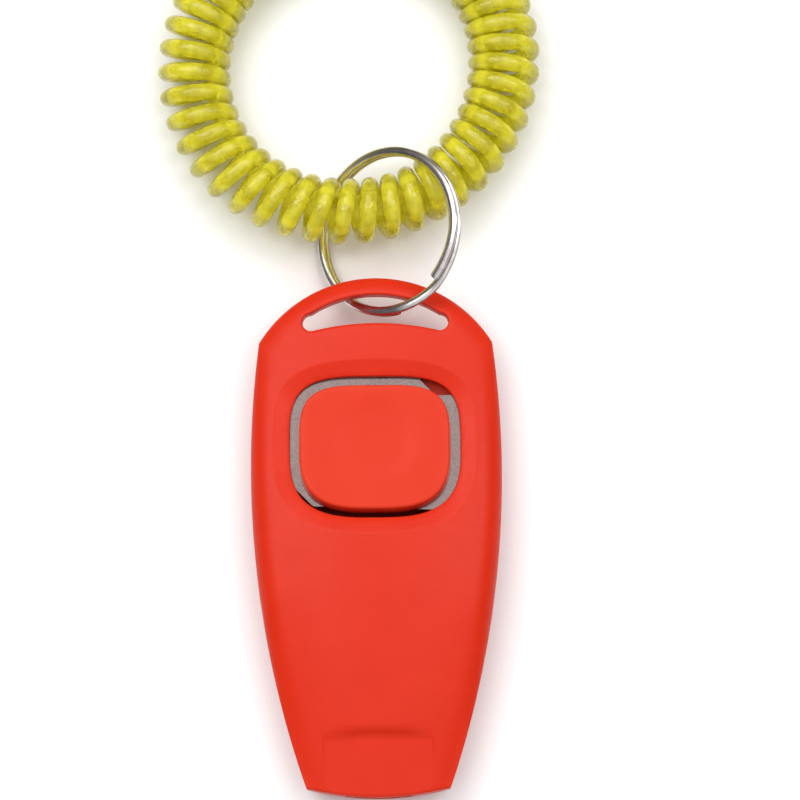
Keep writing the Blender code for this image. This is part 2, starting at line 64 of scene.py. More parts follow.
VIEW_ROLL = math.radians(0.45)
VIEW_FIELD = 0.1163
SENSOR_MM = 36.0
CLIP_START = 0.01
CLIP_END = 20.0

# The body's outline: four arcs, mirrored left to right
TOP_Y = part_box("front_cover")[1].y
MOUTH_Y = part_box("front_cover")[0].y
HALF_WIDTH = 0.0182
WIDEST_Y = -0.0035
SIDE_RADIUS = 0.1395
TOP_RADIUS = 0.01987
MOUTH_RADIUS = 0.0399
SIDE_CENTRE = np.array((HALF_WIDTH - SIDE_RADIUS, WIDEST_Y))
TOP_CENTRE = np.array((0.0, TOP_Y - TOP_RADIUS))
MOUTH_CENTRE = np.array((0.0, MOUTH_Y + MOUTH_RADIUS))
FAR_AWAY = 1.0

# The body's heights
SEAM_Z = 0.0070
SEAM_GAP = 0.00008
SEAM_SOFTENING = 0.00012
RIM_Z = 0.0075
CROWN_Z = 0.0119
CROWN_Y = -0.012
FALL_TO_MOUTH = 1.8
FALL_TO_TOP = 2.2
CROSS_CURVE = 6.7
CROSS_CURVE_AT_MOUTH = 15.5
MOUTHPIECE_START_Y = -0.020
MOUTHPIECE_BLEND = 0.030
EDGE_WIDTH = 0.0030
MOUTH_EDGE_WIDTH = 0.00045
WALL = 0.0014
RIM_WALL = 0.0016
DRAFT = 0.00025

# The back
BACK_RIM_Z = 0.0030
BAR_BOTTOM_Z = 0.0057
BAR_RISE_START = 0.0090
BAR_RISE_LENGTH = 0.0080
BAR_RIM_LIFT = 0.0006
MOUTH_RISE = 0.0022
MOUTH_RISE_START = -0.038
MOUTH_RISE_LENGTH = 0.012

# The lanyard slot
BAR_WIDTH = 0.00265
SLOT_UPPER_RADIUS = TOP_RADIUS - BAR_WIDTH
SLOT_LOWER_RADIUS = 0.041
SLOT_LOWER_CENTRE = np.array((0.0, 0.01756 - SLOT_LOWER_RADIUS))
SLOT_END_X = 0.0093
SLOT_SOFTENING = 0.00045
SLOT_SOFTENING_BELOW = 0.0009

# The button's opening and its dish
OPENING_HALF = (0.01235, 0.01035)
OPENING_CENTRE = np.array((-0.00015, -0.0006))
OPENING_POWERS = (3.8, 3.0)
OPENING_SOFTENING = 0.00018
DISH_WIDTH = 0.0024
DISH_DEPTH = 0.0010
DISH_CREASE = 0.00016
COLLAR_WIDTH = 0.0010

# The button
BUTTON_HALF = (0.01105, 0.0092)
BUTTON_CENTRE = np.array((-0.0002, -0.00085))
BUTTON_TOP_Z = 0.0122
BUTTON_FOOT_Z = 0.0086
BUTTON_WALL = 0.0015
BUTTON_ROOF = 0.0016
BUTTON_LEAN = 0.00022
BUTTON_ROUND = 0.00045
BUTTON_ROUND_LOOPS = (0.0, 0.04, 0.13, 0.28, 0.5, 0.75, 1.0)
BUTTON_FOOT_BEVEL = 0.0002
THUMB_DISH_CENTRE = (0.0, 0.0002)
THUMB_DISH_RADIUS = 0.0070
THUMB_DISH_DEPTH = 0.00028
THUMB_DISH_RAMP = 0.5

# The spring plate, the button's legs, and the ledge in the rear shell under the plate's notch
PLATE_TOP_Z = 0.0082
PLATE_THICKNESS = 0.0004
PLATE_CLEARANCE = 0.0003
PLATE_CORNER = 0.0004
PEG_X = 0.0055
PEG_Y = 0.0132
PEG_RADIUS = 0.0007
PEG_HOLE_RADIUS = 0.00115
CLAMP_HALF_WIDTH = 0.0080
CLAMP_Y = (0.0122, 0.0148)
LEG_X = 0.0060
LEG_HALF = (0.0006, 0.0018)
LEG_BOTTOM_Z = 0.0068
LEDGE_Z = 0.0066
LEDGE = ((0.0058, 0.0138), (0.0064, 0.0118))
DOME_RADIUS = 0.0080
DOME_STEP = 0.0010
DOME_HEIGHT = 0.00022
DOME_LOOPS = (0.0, 0.25, 0.5, 0.75, 1.0)
LEG_HOLE_CORNER = 0.0002
PLATE_OUTLINE = (
    (-0.0136, -0.0045),
    (-0.0092, -0.0090),
    (0.0085, -0.0096),
    (0.0122, -0.0075),
    (0.0122, 0.0061),
    (0.0113, 0.0071),
    (0.0086, 0.0071),
    (0.0061, 0.0097),
    (0.0061, 0.0110),
    (0.0075, 0.0118),
    (0.0075, 0.0147),
    (-0.0075, 0.0147),
    (-0.0075, 0.0124),
    (-0.0136, 0.0095),
)

# The whistle
LIP_HALF_WIDTH = 0.00785
LIP_Y = -0.0425
LIP_DEPTH = 0.00107
LIP_SLOPE = 0.76
LIP_SIDE = 0.00025
LIP_BEND = 0.0001
LIP_BLEND = 0.00012
LIP_CREASE_START_Y = MOUTH_Y + 0.0016
WINDWAY_HALF_WIDTH = 0.0050
WINDWAY_Z = 0.0042
WINDWAY_END_Y = -0.0384
WINDWAY_CREASE_START_Y = MOUTH_Y + 0.0002
RAIL_WIDTH = 0.0012
RAIL_Z = 0.00685
RAIL_Y = (-0.0478, -0.0336)
WINDOW_HALF_WIDTH = 0.0040
WINDOW_Y = (-0.0384, -0.0349)
BULKHEAD_Y = (-0.0234, -0.0220)
BULKHEAD_HALF_WIDTH = 0.0142

# The windway block: its slope as a share of its height, its rounding, and its slightly smaller ends
INSERT_SLOPE = 0.6
INSERT_CORNER = 0.00025
INSERT_END_BEVEL = 0.0001
INSERT_END_SIZE = 0.96

# The split ring: a flat wire with rounded edges that goes round nearly twice
RING_CENTRE = Vector((0.0020, 0.0313, 0.0080))
RING_TILT = math.radians(35.0)
RING_OUTER_RADIUS = 0.0125
RING_WIRE_WIDTH = 0.0014
RING_WIRE_THICKNESS = 0.00085
RING_WIRE_POWER = 2.2
RING_TURN_GAP = 0.00008
RING_STEP = math.radians(39.5)
RING_START = math.radians(-43.0)
RING_SPRING = 0.0005
RING_SPRING_LENGTH = math.radians(50.0)
RING_END_SIZE = 0.93

# The spiral wrist coil
COIL_CENTRE = Vector((-0.0036, 0.0567))
COIL_RADIUS = 0.0226
COIL_OVAL = 0.00047
COIL_OVAL_AT = math.radians(32.0)
COIL_PINCH = 0.0006
COIL_PINCH_AT = math.radians(-72.0)
COIL_PINCH_WIDTH = math.radians(36.0)
COIL_REST_Z = 0.0055
COIL_HUMP = 0.0028
COIL_HUMP_AT = math.radians(-100.5)
COIL_HUMP_WIDTH = math.radians(25.0)
COIL_GAP_AT = math.radians(90.0)
COIL_GAP_HALF = math.radians(9.0)
WIRE_RADIUS = 0.00125
HELIX_RADIUS = 0.00415
TURNS = 44
POINTS_PER_TURN = 28
PITCH_SWELL = 0.11
PITCH_SWELL_AT = 0.456
TURN_PHASE = -0.2
LEAD_IN = math.radians(4.2)
LEAD_IN_STEPS = (0.25, 0.5, 0.75, 1.0)
TAPER_TURNS = 0.6
JOINER_RADIUS = 0.0030
JOINER_LENGTH = 0.0060

# The joiner's rims and grooves, as shares of its radius and of half its length
JOINER_RIM_SIZE = 0.8
JOINER_RIM_LENGTH = 0.2
JOINER_GROOVE_AT = 0.45
JOINER_GROOVE_WIDTH = 0.07
JOINER_GROOVE_DEPTH = 0.07

# Where handling has rubbed the edges
SHELL_WEAR_WIDTH = 0.0004
BUTTON_WEAR_INSET = 0.0001
BUTTON_WEAR_WIDTH = 0.0003

# How fine the meshes are
FRONT_SPACING = 0.0006
REAR_SPACING = 0.0008
BUTTON_SPACING = 0.0005
PLATE_SPACING = 0.0007
RIM_LOOPS = (0.00004, 0.00012, 0.00025, MOUTH_EDGE_WIDTH, 0.0006, 0.0009, 0.0012, RIM_WALL)
RIM_LOOPS += (RIM_WALL + DRAFT, 0.0022, 0.0026, EDGE_WIDTH)
SLOT_LOOPS = (0.00004, 0.00012, 0.0003, 0.0006, SLOT_SOFTENING_BELOW, 0.0013)
MOUTH_POINTS = 16
SIDE_POINTS = 100
TOP_POINTS = 44
SLOT_POINTS = 41
SLOT_END_POINTS = 11
SLOT_END_ARC = (math.radians(105.0), math.radians(270.0))
SQUARE_POINTS = 160
CORNER_POINTS = 4
CORNER_LIMIT = 0.4
PEG_POINTS = 20
HOLE_POINTS = 32
DOME_POINTS = 96
RING_SECTIONS = 420
RING_WIRE_SIDES = 28
COIL_WIRE_ROUNDNESS = 5
JOINER_SECTIONS = 41
JOINER_SIDES = 32
SHARP_SOLID = 32.0
SHARP_SWEEP = 40.0
GRID_CLEARANCE = 0.6
SPACING_SLACK = 0.01
POINT_MERGE = 1e-7

# The part of a noise's range that the materials use
NOISE_MIDDLE = (0.3, 0.7)

# Colour, deeper clouds, rubbed edges and roughness of each red plastic
SHELL_RED = (0.63, 0.0245, 0.0056), (0.605, 0.0215, 0.0045), (0.70, 0.048, 0.020), 0.35
BUTTON_RED = (0.66, 0.033, 0.0075), (0.635, 0.029, 0.006), (0.74, 0.065, 0.030), 0.38
# The windway block's red is a darker copy of the shell's: painted shade for the block deep inside the mouth
INSERT_RED_WITH_PAINTED_SHADE = (0.40, 0.018, 0.008), (0.36, 0.015, 0.007), (0.45, 0.03, 0.015), 0.45
PLASTIC_SHINE = 0.16
RUBBED_SHARE = (0.12, 0.5)

# Scale and detail of the red plastics' noises
RED_CLOUDS = (160.0, 4.0)
RED_RUBBING = (420.0, 5.0)
RED_SATIN = (900.0, 4.0)
RED_FINE_BUMPS = (5200.0, 2.0)
RED_COARSE_BUMPS = (700.0, 3.0)
RED_BUMP_STRENGTH = 0.10
RED_BUMP_HEIGHT = 0.00004

# How far every plastic's roughness goes below and above its own value
SATIN_BELOW = 0.04
SATIN_ABOVE = 0.05

# Colour, roughness and range of clearness of the coil's wire and of its joiner, and their noises
COIL_YELLOW = (0.93, 0.86, 0.050), 0.14, (0.50, 0.80)
JOINER_YELLOW = (0.78, 0.72, 0.05), 0.35, (0.10, 0.20)
CLOUDY_SHADE = 0.93
COIL_IOR = 1.46
COIL_CLOUDS = (260.0, 4.0)
COIL_SATIN = (1400.0, 3.0)
COIL_CLEARNESS = (420.0, 3.0)
COIL_BUMPS = (500.0, 2.0)
COIL_BUMP_STRENGTH = 0.10
COIL_BUMP_HEIGHT = 0.00005

# The metals: low and high values of their mottled colours, the plate's stains, and their noises
# The plate's greys are darker and pinker than bare steel: painted shade of the opening it lies in and painted
# reflection of the red shell round it, under a real mottled grain
PLATE_GREY_WITH_PAINTED_SHADE = (0.21, 0.165, 0.155), (0.36, 0.28, 0.265)
PLATE_STAIN = (0.27, 0.21, 0.20)
PLATE_STAINED_SHARE = (0.0, 0.5)
PLATE_ROUGHNESS = (0.11, 0.18)
PLATE_GRAIN = (4200.0, 4.0)
PLATE_CLOUDS = (300.0, 4.0)
PLATE_WAVES = (900.0, 2.0)
PLATE_GRAIN_STRENGTH = 0.10
PLATE_WAVE_STRENGTH = 0.05
PLATE_BUMP_HEIGHT = 0.00003
RING_GREY = (0.62, 0.575, 0.56), (0.76, 0.715, 0.70)
RING_ROUGHNESS = (0.12, 0.27)
RING_MARKS = (6.0, 3.0)
RING_MARKS_STRETCH = (3.0, 9.0, 1.0)
RING_CLOUDS = (900.0, 3.0)
RING_GRAIN = (2600.0, 2.0)
RING_MARKS_STRENGTH = 0.20
RING_GRAIN_STRENGTH = 0.05
RING_BUMP_HEIGHT = 0.00004

# The studio: name, place, size and watts of each softbox, and what they are turned to
SOFTBOXES = (
    ("left_softbox", (-0.62, 0.22, 1.12), (0.30, 1.0), 4.2),
    ("right_softbox", (0.64, 0.20, 1.15), (0.30, 1.0), 3.9),
    ("far_softbox", (-0.20, 0.85, 1.25), (1.5, 0.7), 9.2),
    ("near_softbox", (0.10, -1.10, 1.0), (1.2, 0.3), 0.9),
)
LIGHTS_TARGET = (0.0, 0.015, 0.0)

# The world is dim up to one height of the sky and bright from another: 0 is the horizon, 1 straight up
HORIZON_LIGHT = (0.08, 0.08, 0.08)
OVERHEAD_LIGHT = (1.15, 1.15, 1.16)
HORIZON_TOP = 0.35
OVERHEAD_START = 0.95

# The paper that the tool lies on
FLOOR_REACH = 4.0
FLOOR_DROP = 0.00002
FLOOR_WHITE = (0.90, 0.90, 0.90)
FLOOR_ROUGHNESS = 0.9
FLOOR_SHINE = 0.1


def clamp(value):
    return np.clip(value, 0.0, 1.0)


def smooth(value):
    """A soft step from 0 to 1."""
    t = clamp(value)
    return t * t * (3.0 - 2.0 * t)


def quarter_round(value):
    """The height of a rounded edge: 0 at the edge, 1 one edge width inside it."""
    return np.sqrt(1.0 - (1.0 - clamp(value)) ** 2)


def mix(low, high, amount):
    return low + (high - low) * amount


def soft_ramp(value, width):
    """0 below zero and value above it, with the corner rounded over a width to each side."""
    bent = (value + width) ** 2 / (4.0 * width)
    return np.where(value < -width, 0.0, np.where(value > width, value, bent))


def soft_min(a, b, width):
    near = np.maximum(width - np.abs(a - b), 0.0) / width
    return np.minimum(a, b) - near**2 * width / 4.0


# ---------------------------------------------------------------- outlines


def circle_crossing(centre_a, radius_a, centre_b, radius_b, upper):
    """The upper or the lower of the two points where two circles cross."""
    between = centre_b - centre_a
    distance = np.linalg.norm(between)
    along = (radius_a**2 - radius_b**2 + distance**2) / (2.0 * distance)
    off = math.sqrt(radius_a**2 - along**2)
    middle = centre_a + between * along / distance
    side = np.array((-between[1], between[0])) * off / distance
    pair = sorted((middle + side, middle - side), key=lambda point: point[1])
    return pair[1] if upper else pair[0]


def arc(centre, radius, start, end, count):
    """Points along an arc, without the last one."""
    angles = np.linspace(start, end, count, endpoint=False)
    return centre + radius * np.stack([np.cos(angles), np.sin(angles)], axis=1)


def angle_from(centre, point):
    return math.atan2(point[1] - centre[1], point[0] - centre[0])


def mirrored(points):
    """The points on the other side of the middle, in reverse order."""
    return points[::-1] * (-1.0, 1.0)


def body_outline(inset):
    """The body's outline, moved inwards, anticlockwise from the middle of the mouth."""
    mouth, side, top = MOUTH_RADIUS - inset, SIDE_RADIUS - inset, TOP_RADIUS - inset
    corner = circle_crossing(SIDE_CENTRE, side, MOUTH_CENTRE, mouth, upper=False)
    shoulder = circle_crossing(SIDE_CENTRE, side, TOP_CENTRE, top, upper=True)
    start, end = angle_from(SIDE_CENTRE, corner), angle_from(SIDE_CENTRE, shoulder)
    right = np.concatenate(
        [
            arc(MOUTH_CENTRE, mouth, -math.pi / 2, angle_from(MOUTH_CENTRE, corner), MOUTH_POINTS),
            arc(SIDE_CENTRE, side, start, end, SIDE_POINTS),
            arc(TOP_CENTRE, top, angle_from(TOP_CENTRE, shoulder), math.pi / 2, TOP_POINTS),
        ]
    )
    summit = TOP_CENTRE + np.array((0.0, top))
    return np.concatenate([right, [summit], mirrored(right[1:])])


def depth_from_sides(x, y):
    """How far inside the outline's sides and top a point is."""
    across = np.abs(x)
    side = SIDE_RADIUS - np.hypot(across - SIDE_CENTRE[0], y - SIDE_CENTRE[1])
    top = np.where(y > 0.0, TOP_RADIUS - np.hypot(across, y - TOP_CENTRE[1]), FAR_AWAY)
    return np.minimum(side, top)


def depth_from_mouth(x, y):
    """How far inside the outline's mouth a point is."""
    return np.where(y < 0.0, MOUTH_RADIUS - np.hypot(x, y - MOUTH_CENTRE[1]), FAR_AWAY)


def depth_in_body(x, y):
    return np.minimum(depth_from_sides(x, y), depth_from_mouth(x, y))


def slot_edges_at(x, offset):
    """The y of the slot's lower and upper edges, moved outwards."""
    upper = TOP_CENTRE[1] + np.sqrt((SLOT_UPPER_RADIUS + offset) ** 2 - x * x)
    lower = SLOT_LOWER_CENTRE[1] + np.sqrt((SLOT_LOWER_RADIUS - offset) ** 2 - x * x)
    return lower, upper


def slot_outline(offset):
    """The slot's outline, moved outwards."""
    across = np.linspace(SLOT_END_X, -SLOT_END_X, SLOT_POINTS)
    lower, upper = slot_edges_at(SLOT_END_X, offset)
    end = np.array((-SLOT_END_X, (upper + lower) / 2.0))
    left = arc(end, (upper - lower) / 2.0, *SLOT_END_ARC, SLOT_END_POINTS)
    top = np.stack([across, slot_edges_at(across, offset)[1]], axis=1)
    bottom = np.stack([-across, slot_edges_at(across, offset)[0]], axis=1)
    return np.concatenate([top, left, bottom, mirrored(left)])


def distance_from_slot(x, y):
    """How far outside the slot's outline a point is; negative inside it."""
    across = np.abs(x)
    above = np.hypot(across, y - TOP_CENTRE[1]) - SLOT_UPPER_RADIUS
    below = SLOT_LOWER_RADIUS - np.hypot(across, y - SLOT_LOWER_CENTRE[1])
    lower, upper = slot_edges_at(SLOT_END_X, 0.0)
    past_end = np.hypot(across - SLOT_END_X, y - (lower + upper) / 2.0) - (upper - lower) / 2.0
    return np.where(across < SLOT_END_X, np.maximum(above, below), past_end)


def rounded_square_radius(angle, half):
    """The radius of a rounded square at an angle: its upper corners are tighter than its lower ones."""
    power = np.where(np.sin(angle) > 0.0, OPENING_POWERS[0], OPENING_POWERS[1])
    across = np.abs(np.cos(angle) / half[0]) ** power
    along = np.abs(np.sin(angle) / half[1]) ** power
    return (across + along) ** (-1.0 / power)


def rounded_square(half, centre, offset):
    angles = np.linspace(0.0, 2.0 * math.pi, SQUARE_POINTS, endpoint=False)
    reach = rounded_square_radius(angles, half) + offset
    return centre + reach[:, None] * np.stack([np.cos(angles), np.sin(angles)], axis=1)


def distance_from_square(x, y, half, centre):
    """How far outside a rounded square a point is, measured along its radius."""
    across, along = x - centre[0], y - centre[1]
    return np.hypot(across, along) - rounded_square_radius(np.arctan2(along, across), half)


def rectangle(x_range, y_range):
    return np.array([(x_range[i], y_range[j]) for i, j in ((0, 0), (1, 0), (1, 1), (0, 1))])


def grown(x_range, y_range, by):
    return (x_range[0] - by, x_range[1] + by), (y_range[0] - by, y_range[1] + by)


def inside_rectangle(x, y, x_range, y_range):
    """1 in a rectangle, 0 from one draft outside it."""
    off_x = np.maximum(x_range[0] - x, x - x_range[1])
    off_y = np.maximum(y_range[0] - y, y - y_range[1])
    return clamp(1.0 - np.maximum(np.maximum(off_x, off_y), 0.0) / DRAFT)


def circle(centre, radius, count):
    return arc(np.array(centre), radius, 0.0, 2.0 * math.pi, count)


def rounded_corners(outline, radius):
    """A polygon with each corner replaced by a short curve."""
    points = np.array(outline)
    rounded = []
    for before, corner, after in zip(np.roll(points, 1, axis=0), points, np.roll(points, -1, axis=0)):
        start, end = before - corner, after - corner
        start *= min(radius / np.linalg.norm(start), CORNER_LIMIT)
        end *= min(radius / np.linalg.norm(end), CORNER_LIMIT)
        for t in np.linspace(0.0, 1.0, CORNER_POINTS):
            rounded.append(corner + start * (1.0 - t) ** 2 + end * t**2)
    return np.array(rounded)


# ---------------------------------------------------------------- solids


def in_polygon(points, polygon):
    """Which of the points are inside a polygon."""
    x, y = points[:, 0], points[:, 1]
    inside = np.zeros(len(points), bool)
    for a, b in zip(polygon, np.roll(polygon, -1, axis=0)):
        if a[1] != b[1]:
            crosses = (a[1] > y) != (b[1] > y)
            inside ^= crosses & (x < a[0] + (y - a[1]) * (b[0] - a[0]) / (b[1] - a[1]))
    return inside


def grid_inside(edge, loop_points, spacing):
    """Points on a square grid inside edge, away from every loop."""
    tree = kdtree.KDTree(len(loop_points))
    for i, point in enumerate(loop_points):
        tree.insert((*point, 0.0), i)
    tree.balance()
    low, high = edge.min(axis=0), edge.max(axis=0)
    columns = [np.arange(low[i] + spacing / 2.0, high[i], spacing) for i in (0, 1)]
    grid = np.stack(np.meshgrid(*columns), axis=-1).reshape(-1, 2)
    grid = grid[in_polygon(grid, edge)]
    gaps = np.array([tree.find((*point, 0.0))[2] for point in grid])
    return grid[gaps > GRID_CLEARANCE * spacing]


def subdivided(loop, spacing):
    """A loop with points added wherever its own are more than one spacing apart."""
    points = []
    for a, b in zip(loop, np.roll(loop, -1, axis=0)):
        steps = max(1, math.ceil(np.linalg.norm(b - a) / spacing - SPACING_SLACK))
        points += [a + (b - a) * i / steps for i in range(steps)]
    return np.array(points)


def plan_mesh(edge, holes, creases, spacing):
    """The plan inside edge and outside the holes, cut into triangles along every loop."""
    loops = [edge, *holes, *(subdivided(crease, spacing) for crease in creases)]
    loop_points = np.concatenate(loops)
    lines = []
    first = 0
    for loop in loops:
        lines += [(first + i, first + (i + 1) % len(loop)) for i in range(len(loop))]
        first += len(loop)
    points = np.concatenate([loop_points, grid_inside(edge, loop_points, spacing)])
    flat, _, faces, _, _, _ = geometry.delaunay_2d_cdt([Vector(p) for p in points], lines, [], 0, POINT_MERGE)
    flat, faces = np.array([p[:] for p in flat]), np.array(faces)
    centres = flat[faces].mean(axis=1)
    keep = in_polygon(centres, edge)
    for hole in holes:
        keep &= ~in_polygon(centres, hole)
    used, faces = np.unique(faces[keep], return_inverse=True)
    return flat[used], faces.reshape(-1, 3)


def border_edges(faces):
    """The directed edges that only one face has."""
    edges = np.concatenate([faces[:, (0, 1)], faces[:, (1, 2)], faces[:, (2, 0)]])
    _, index, counts = np.unique(np.sort(edges, axis=1), axis=0, return_index=True, return_counts=True)
    return edges[index[counts == 1]]


def solid_between(name, edge, holes, creases, spacing, top, bottom, wear=None):
    """A closed solid between two functions of the plan; wear(x, y) says where its edges are rubbed."""
    flat, faces = plan_mesh(edge, holes, creases, spacing)
    x, y = flat[:, 0], flat[:, 1]
    upper = np.stack([x, y, top(x, y)], axis=1)
    lower = np.stack([x, y, bottom(x, y)], axis=1)
    a, b = border_edges(faces).T
    count = len(flat)
    walls = np.stack([b, a, a + count, b + count], axis=1)
    polygons = [*faces.tolist(), *(faces[:, ::-1] + count).tolist(), *walls.tolist()]
    mesh = bpy.data.meshes.new(name)
    mesh.from_pydata(np.concatenate([upper, lower]).tolist(), [], polygons)
    if wear is not None:
        layer = mesh.attributes.new("edge_wear", "FLOAT", "POINT")
        layer.data.foreach_set("value", np.tile(wear(x, y), 2).astype(np.float32))
    return placed(name, mesh, SHARP_SOLID)


def placed(name, mesh, sharp_angle):
    mesh.shade_smooth()
    mesh.set_sharp_from_angle(angle=math.radians(sharp_angle))
    piece = bpy.data.objects.new(name, mesh)
    bpy.context.scene.collection.objects.link(piece)
    return piece


def swept(name, sections):
    """A closed solid through sections with equal numbers of points, with flat ends and UVs along it."""
    sides = len(sections[0])
    mesh = bmesh.new()
    layer = mesh.loops.layers.uv.new("along")
    rings = [[mesh.verts.new(p) for p in section] for section in sections]
    for i, (near, far) in enumerate(zip(rings, rings[1:])):
        for j in range(sides):
            k = (j + 1) % sides
            face = mesh.faces.new([near[j], near[k], far[k], far[j]])
            for loop, uv in zip(face.loops, ((i, j), (i, j + 1), (i + 1, j + 1), (i + 1, j))):
                loop[layer].uv = (uv[0] / len(sections), uv[1] / sides)
    mesh.faces.new(rings[0])
    mesh.faces.new(rings[-1])
    bmesh.ops.recalc_face_normals(mesh, faces=mesh.faces)
    data = bpy.data.meshes.new(name)
    mesh.to_mesh(data)
    mesh.free()
    return placed(name, data, SHARP_SWEEP)


# ---------------------------------------------------------------- the two shells


def crown_height(x, y):
    """The crowned front before its edges, dish and recess are taken off."""
    fall = np.where(y < CROWN_Y, FALL_TO_MOUTH, FALL_TO_TOP)
    curve = mix(CROSS_CURVE, CROSS_CURVE_AT_MOUTH, smooth((MOUTHPIECE_START_Y - y) / MOUTHPIECE_BLEND))
    return CROWN_Z - fall * (y - CROWN_Y) ** 2 - curve * x * x


def lip_height(x, y):
    """The floor, the ramp and the side walls of the recess for the lip."""
    floor = crown_height(0.0 * x, np.minimum(y, LIP_Y)) - LIP_DEPTH
    ramp = soft_ramp(y - LIP_Y, LIP_BEND) * LIP_SLOPE
    side = (np.abs(x) - LIP_HALF_WIDTH) / LIP_SIDE + 0.5
    return floor + ramp + 2.0 * LIP_DEPTH * np.maximum(side, 0.0)


def front_height(x, y):
    """The front shell's outer surface."""
    height = soft_min(crown_height(x, y), lip_height(x, y), LIP_BLEND)
    away = distance_from_square(x, y, OPENING_HALF, OPENING_CENTRE)
    height -= DISH_DEPTH / DISH_WIDTH * soft_ramp(DISH_WIDTH - away, DISH_CREASE)
    height -= OPENING_SOFTENING * (1.0 - quarter_round(away / OPENING_SOFTENING))
    height -= SLOT_SOFTENING * (1.0 - quarter_round(distance_from_slot(x, y) / SLOT_SOFTENING))
    height -= MOUTH_EDGE_WIDTH * (1.0 - quarter_round(depth_from_mouth(x, y) / MOUTH_EDGE_WIDTH))
    return mix(RIM_Z, height, quarter_round(depth_from_sides(x, y) / EDGE_WIDTH))


def hollow(x, y):
    """0 where the two shells meet, 1 in the space inside."""
    band = np.minimum(depth_in_body(x, y), distance_from_slot(x, y))
    return clamp((band - RIM_WALL) / DRAFT)


def seam_rounding(x, y):
    """How much the shells' meeting edges are eased along the parting line."""
    band = np.minimum(depth_in_body(x, y), distance_from_slot(x, y))
    return SEAM_SOFTENING * (1.0 - quarter_round(band / SEAM_SOFTENING))


def front_underside(x, y):
    """The front shell's inner surface, with its clamping rib and the collar round the opening."""
    seam = SEAM_Z + SEAM_GAP / 2.0
    rib = PLATE_TOP_Z + PLATE_CLEARANCE
    ceiling = np.maximum(front_height(x, y) - WALL, np.where(y > BULKHEAD_Y[0], rib, seam))
    clamped = inside_rectangle(x, y, (-CLAMP_HALF_WIDTH, CLAMP_HALF_WIDTH), CLAMP_Y)
    away = distance_from_square(x, y, OPENING_HALF, OPENING_CENTRE)
    collar = clamp(1.0 - (away - COLLAR_WIDTH) / DRAFT)
    inside = mix(ceiling, rib, np.maximum(clamped, collar))
    return mix(seam + seam_rounding(x, y), inside, hollow(x, y))


def back_height(x, y):
    """The rear shell's outer surface."""
    to_bar = smooth((y - BAR_RISE_START) / BAR_RISE_LENGTH)
    to_mouth = smooth((MOUTH_RISE_START - y) / MOUTH_RISE_LENGTH)
    height = BAR_BOTTOM_Z * to_bar + MOUTH_RISE * to_mouth
    soft = quarter_round(distance_from_slot(x, y) / SLOT_SOFTENING_BELOW)
    height += SLOT_SOFTENING_BELOW * (1.0 - soft)
    rim = BACK_RIM_Z + (BAR_BOTTOM_Z - BACK_RIM_Z + BAR_RIM_LIFT) * to_bar
    return mix(rim, height, quarter_round(depth_in_body(x, y) / EDGE_WIDTH))


def rear_inside(x, y):
    """The rear shell's inner surface, with its posts, ledge, bulkhead, rails and windway."""
    floor = back_height(x, y) + WALL
    clamp_pad = PLATE_TOP_Z - PLATE_THICKNESS - PLATE_CLEARANCE
    clamped = inside_rectangle(x, y, (-CLAMP_HALF_WIDTH, CLAMP_HALF_WIDTH), CLAMP_Y)
    height = mix(floor, clamp_pad, clamped)
    peg = clamp(1.0 - (np.hypot(np.abs(x) - PEG_X, y - PEG_Y) - PEG_RADIUS) / DRAFT)
    height = mix(height, PLATE_TOP_Z, peg)
    height = np.maximum(height, mix(floor, LEDGE_Z, inside_rectangle(x, y, *LEDGE)))
    wall = inside_rectangle(x, y, (-BULKHEAD_HALF_WIDTH, BULKHEAD_HALF_WIDTH), BULKHEAD_Y)
    height = mix(height, front_underside(x, y) - PLATE_CLEARANCE, wall)
    rail_x = (WINDWAY_HALF_WIDTH, WINDWAY_HALF_WIDTH + RAIL_WIDTH)
    height = mix(height, RAIL_Z, inside_rectangle(np.abs(x), y, rail_x, RAIL_Y))
    height = mix(SEAM_Z - SEAM_GAP / 2.0 - seam_rounding(x, y), height, hollow(x, y))
    windway_x = (-WINDWAY_HALF_WIDTH + DRAFT, WINDWAY_HALF_WIDTH - DRAFT)
    return mix(height, WINDWAY_Z, inside_rectangle(x, y, windway_x, (-FAR_AWAY, WINDWAY_END_Y)))


def shell_creases():
    """The loops that both shells' rounded edges and rims follow."""
    return [body_outline(d) for d in RIM_LOOPS] + [slot_outline(d) for d in SLOT_LOOPS]


def shell_wear(x, y):
    """1 on the shells' outer edges, nearly 0 from about a millimetre inside them."""
    away = np.abs(distance_from_square(x, y, OPENING_HALF, OPENING_CENTRE))
    near = np.minimum(np.minimum(depth_in_body(x, y), np.abs(distance_from_slot(x, y))), away)
    return np.exp(-near / SHELL_WEAR_WIDTH)


def front_shell():
    clamp_x = (-CLAMP_HALF_WIDTH, CLAMP_HALF_WIDTH)
    creases = shell_creases()
    steps = (OPENING_SOFTENING / 3.0, OPENING_SOFTENING, COLLAR_WIDTH, COLLAR_WIDTH + DRAFT)
    steps += (DISH_WIDTH - DISH_CREASE, DISH_WIDTH, DISH_WIDTH + DISH_CREASE)
    creases += [rounded_square(OPENING_HALF, OPENING_CENTRE, d) for d in steps]
    creases += [rectangle(clamp_x, CLAMP_Y), rectangle(*grown(clamp_x, CLAMP_Y, DRAFT))]
    lip_inner, lip_outer = LIP_HALF_WIDTH - LIP_SIDE / 2.0, LIP_HALF_WIDTH + LIP_SIDE / 2.0
    lip_top = LIP_Y + LIP_DEPTH / LIP_SLOPE
    for half in (lip_inner, lip_outer):
        for y_range in ((LIP_CREASE_START_Y, LIP_Y), (LIP_Y, lip_top)):
            creases.append(rectangle((-half, half), y_range))
    holes = [slot_outline(0.0), rounded_square(OPENING_HALF, OPENING_CENTRE, 0.0)]
    return solid_between(
        "front_shell",
        body_outline(0.0),
        holes,
        creases,
        FRONT_SPACING,
        front_height,
        front_underside,
        shell_wear,
    )


